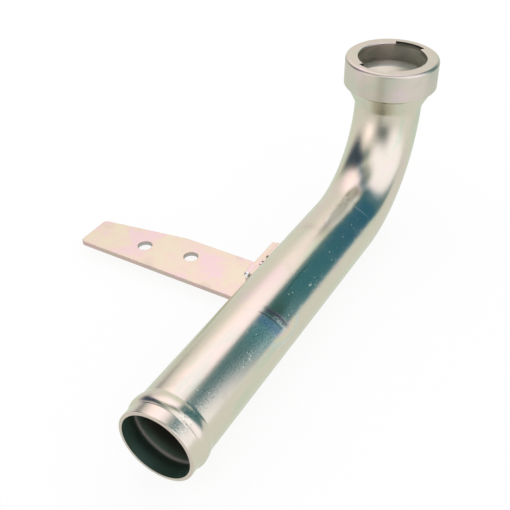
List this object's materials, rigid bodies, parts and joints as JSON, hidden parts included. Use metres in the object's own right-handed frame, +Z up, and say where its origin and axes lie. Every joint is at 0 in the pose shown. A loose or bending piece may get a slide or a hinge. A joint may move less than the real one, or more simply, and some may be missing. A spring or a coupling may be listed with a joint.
{
  "type": "oil filler pipe",
  "caption": "Bent plated-steel oil filler pipe with a beaded hose end, a bayonet filler neck and a folded side bracket with bolt holes.",
  "frame": {"origin": "centre of the hose end's rim, on the tube's axis", "axes": "+Y along the straight tube towards the bend, +Z up the filler neck as fitted, -X towards the bracket's free end"},
  "size_m": [0.168, 0.2765, 0.1063],
  "materials": {
    "filler_tube": "satin, zinc passivated",
    "filler_neck": "satin, zinc passivated",
    "neck_braze": "satin, zinc passivated",
    "mounting_bracket": "satin, zinc passivated",
    "bracket_weld": "bright lumpy weld"
  },
  "bodies": {
    "root": {"filler_tube": "filler_tube", "filler_neck": "filler_neck", "neck_braze": "neck_braze", "mounting_bracket": "mounting_bracket", "bracket_weld": "bracket_weld"}
  },
  "joints": []
}
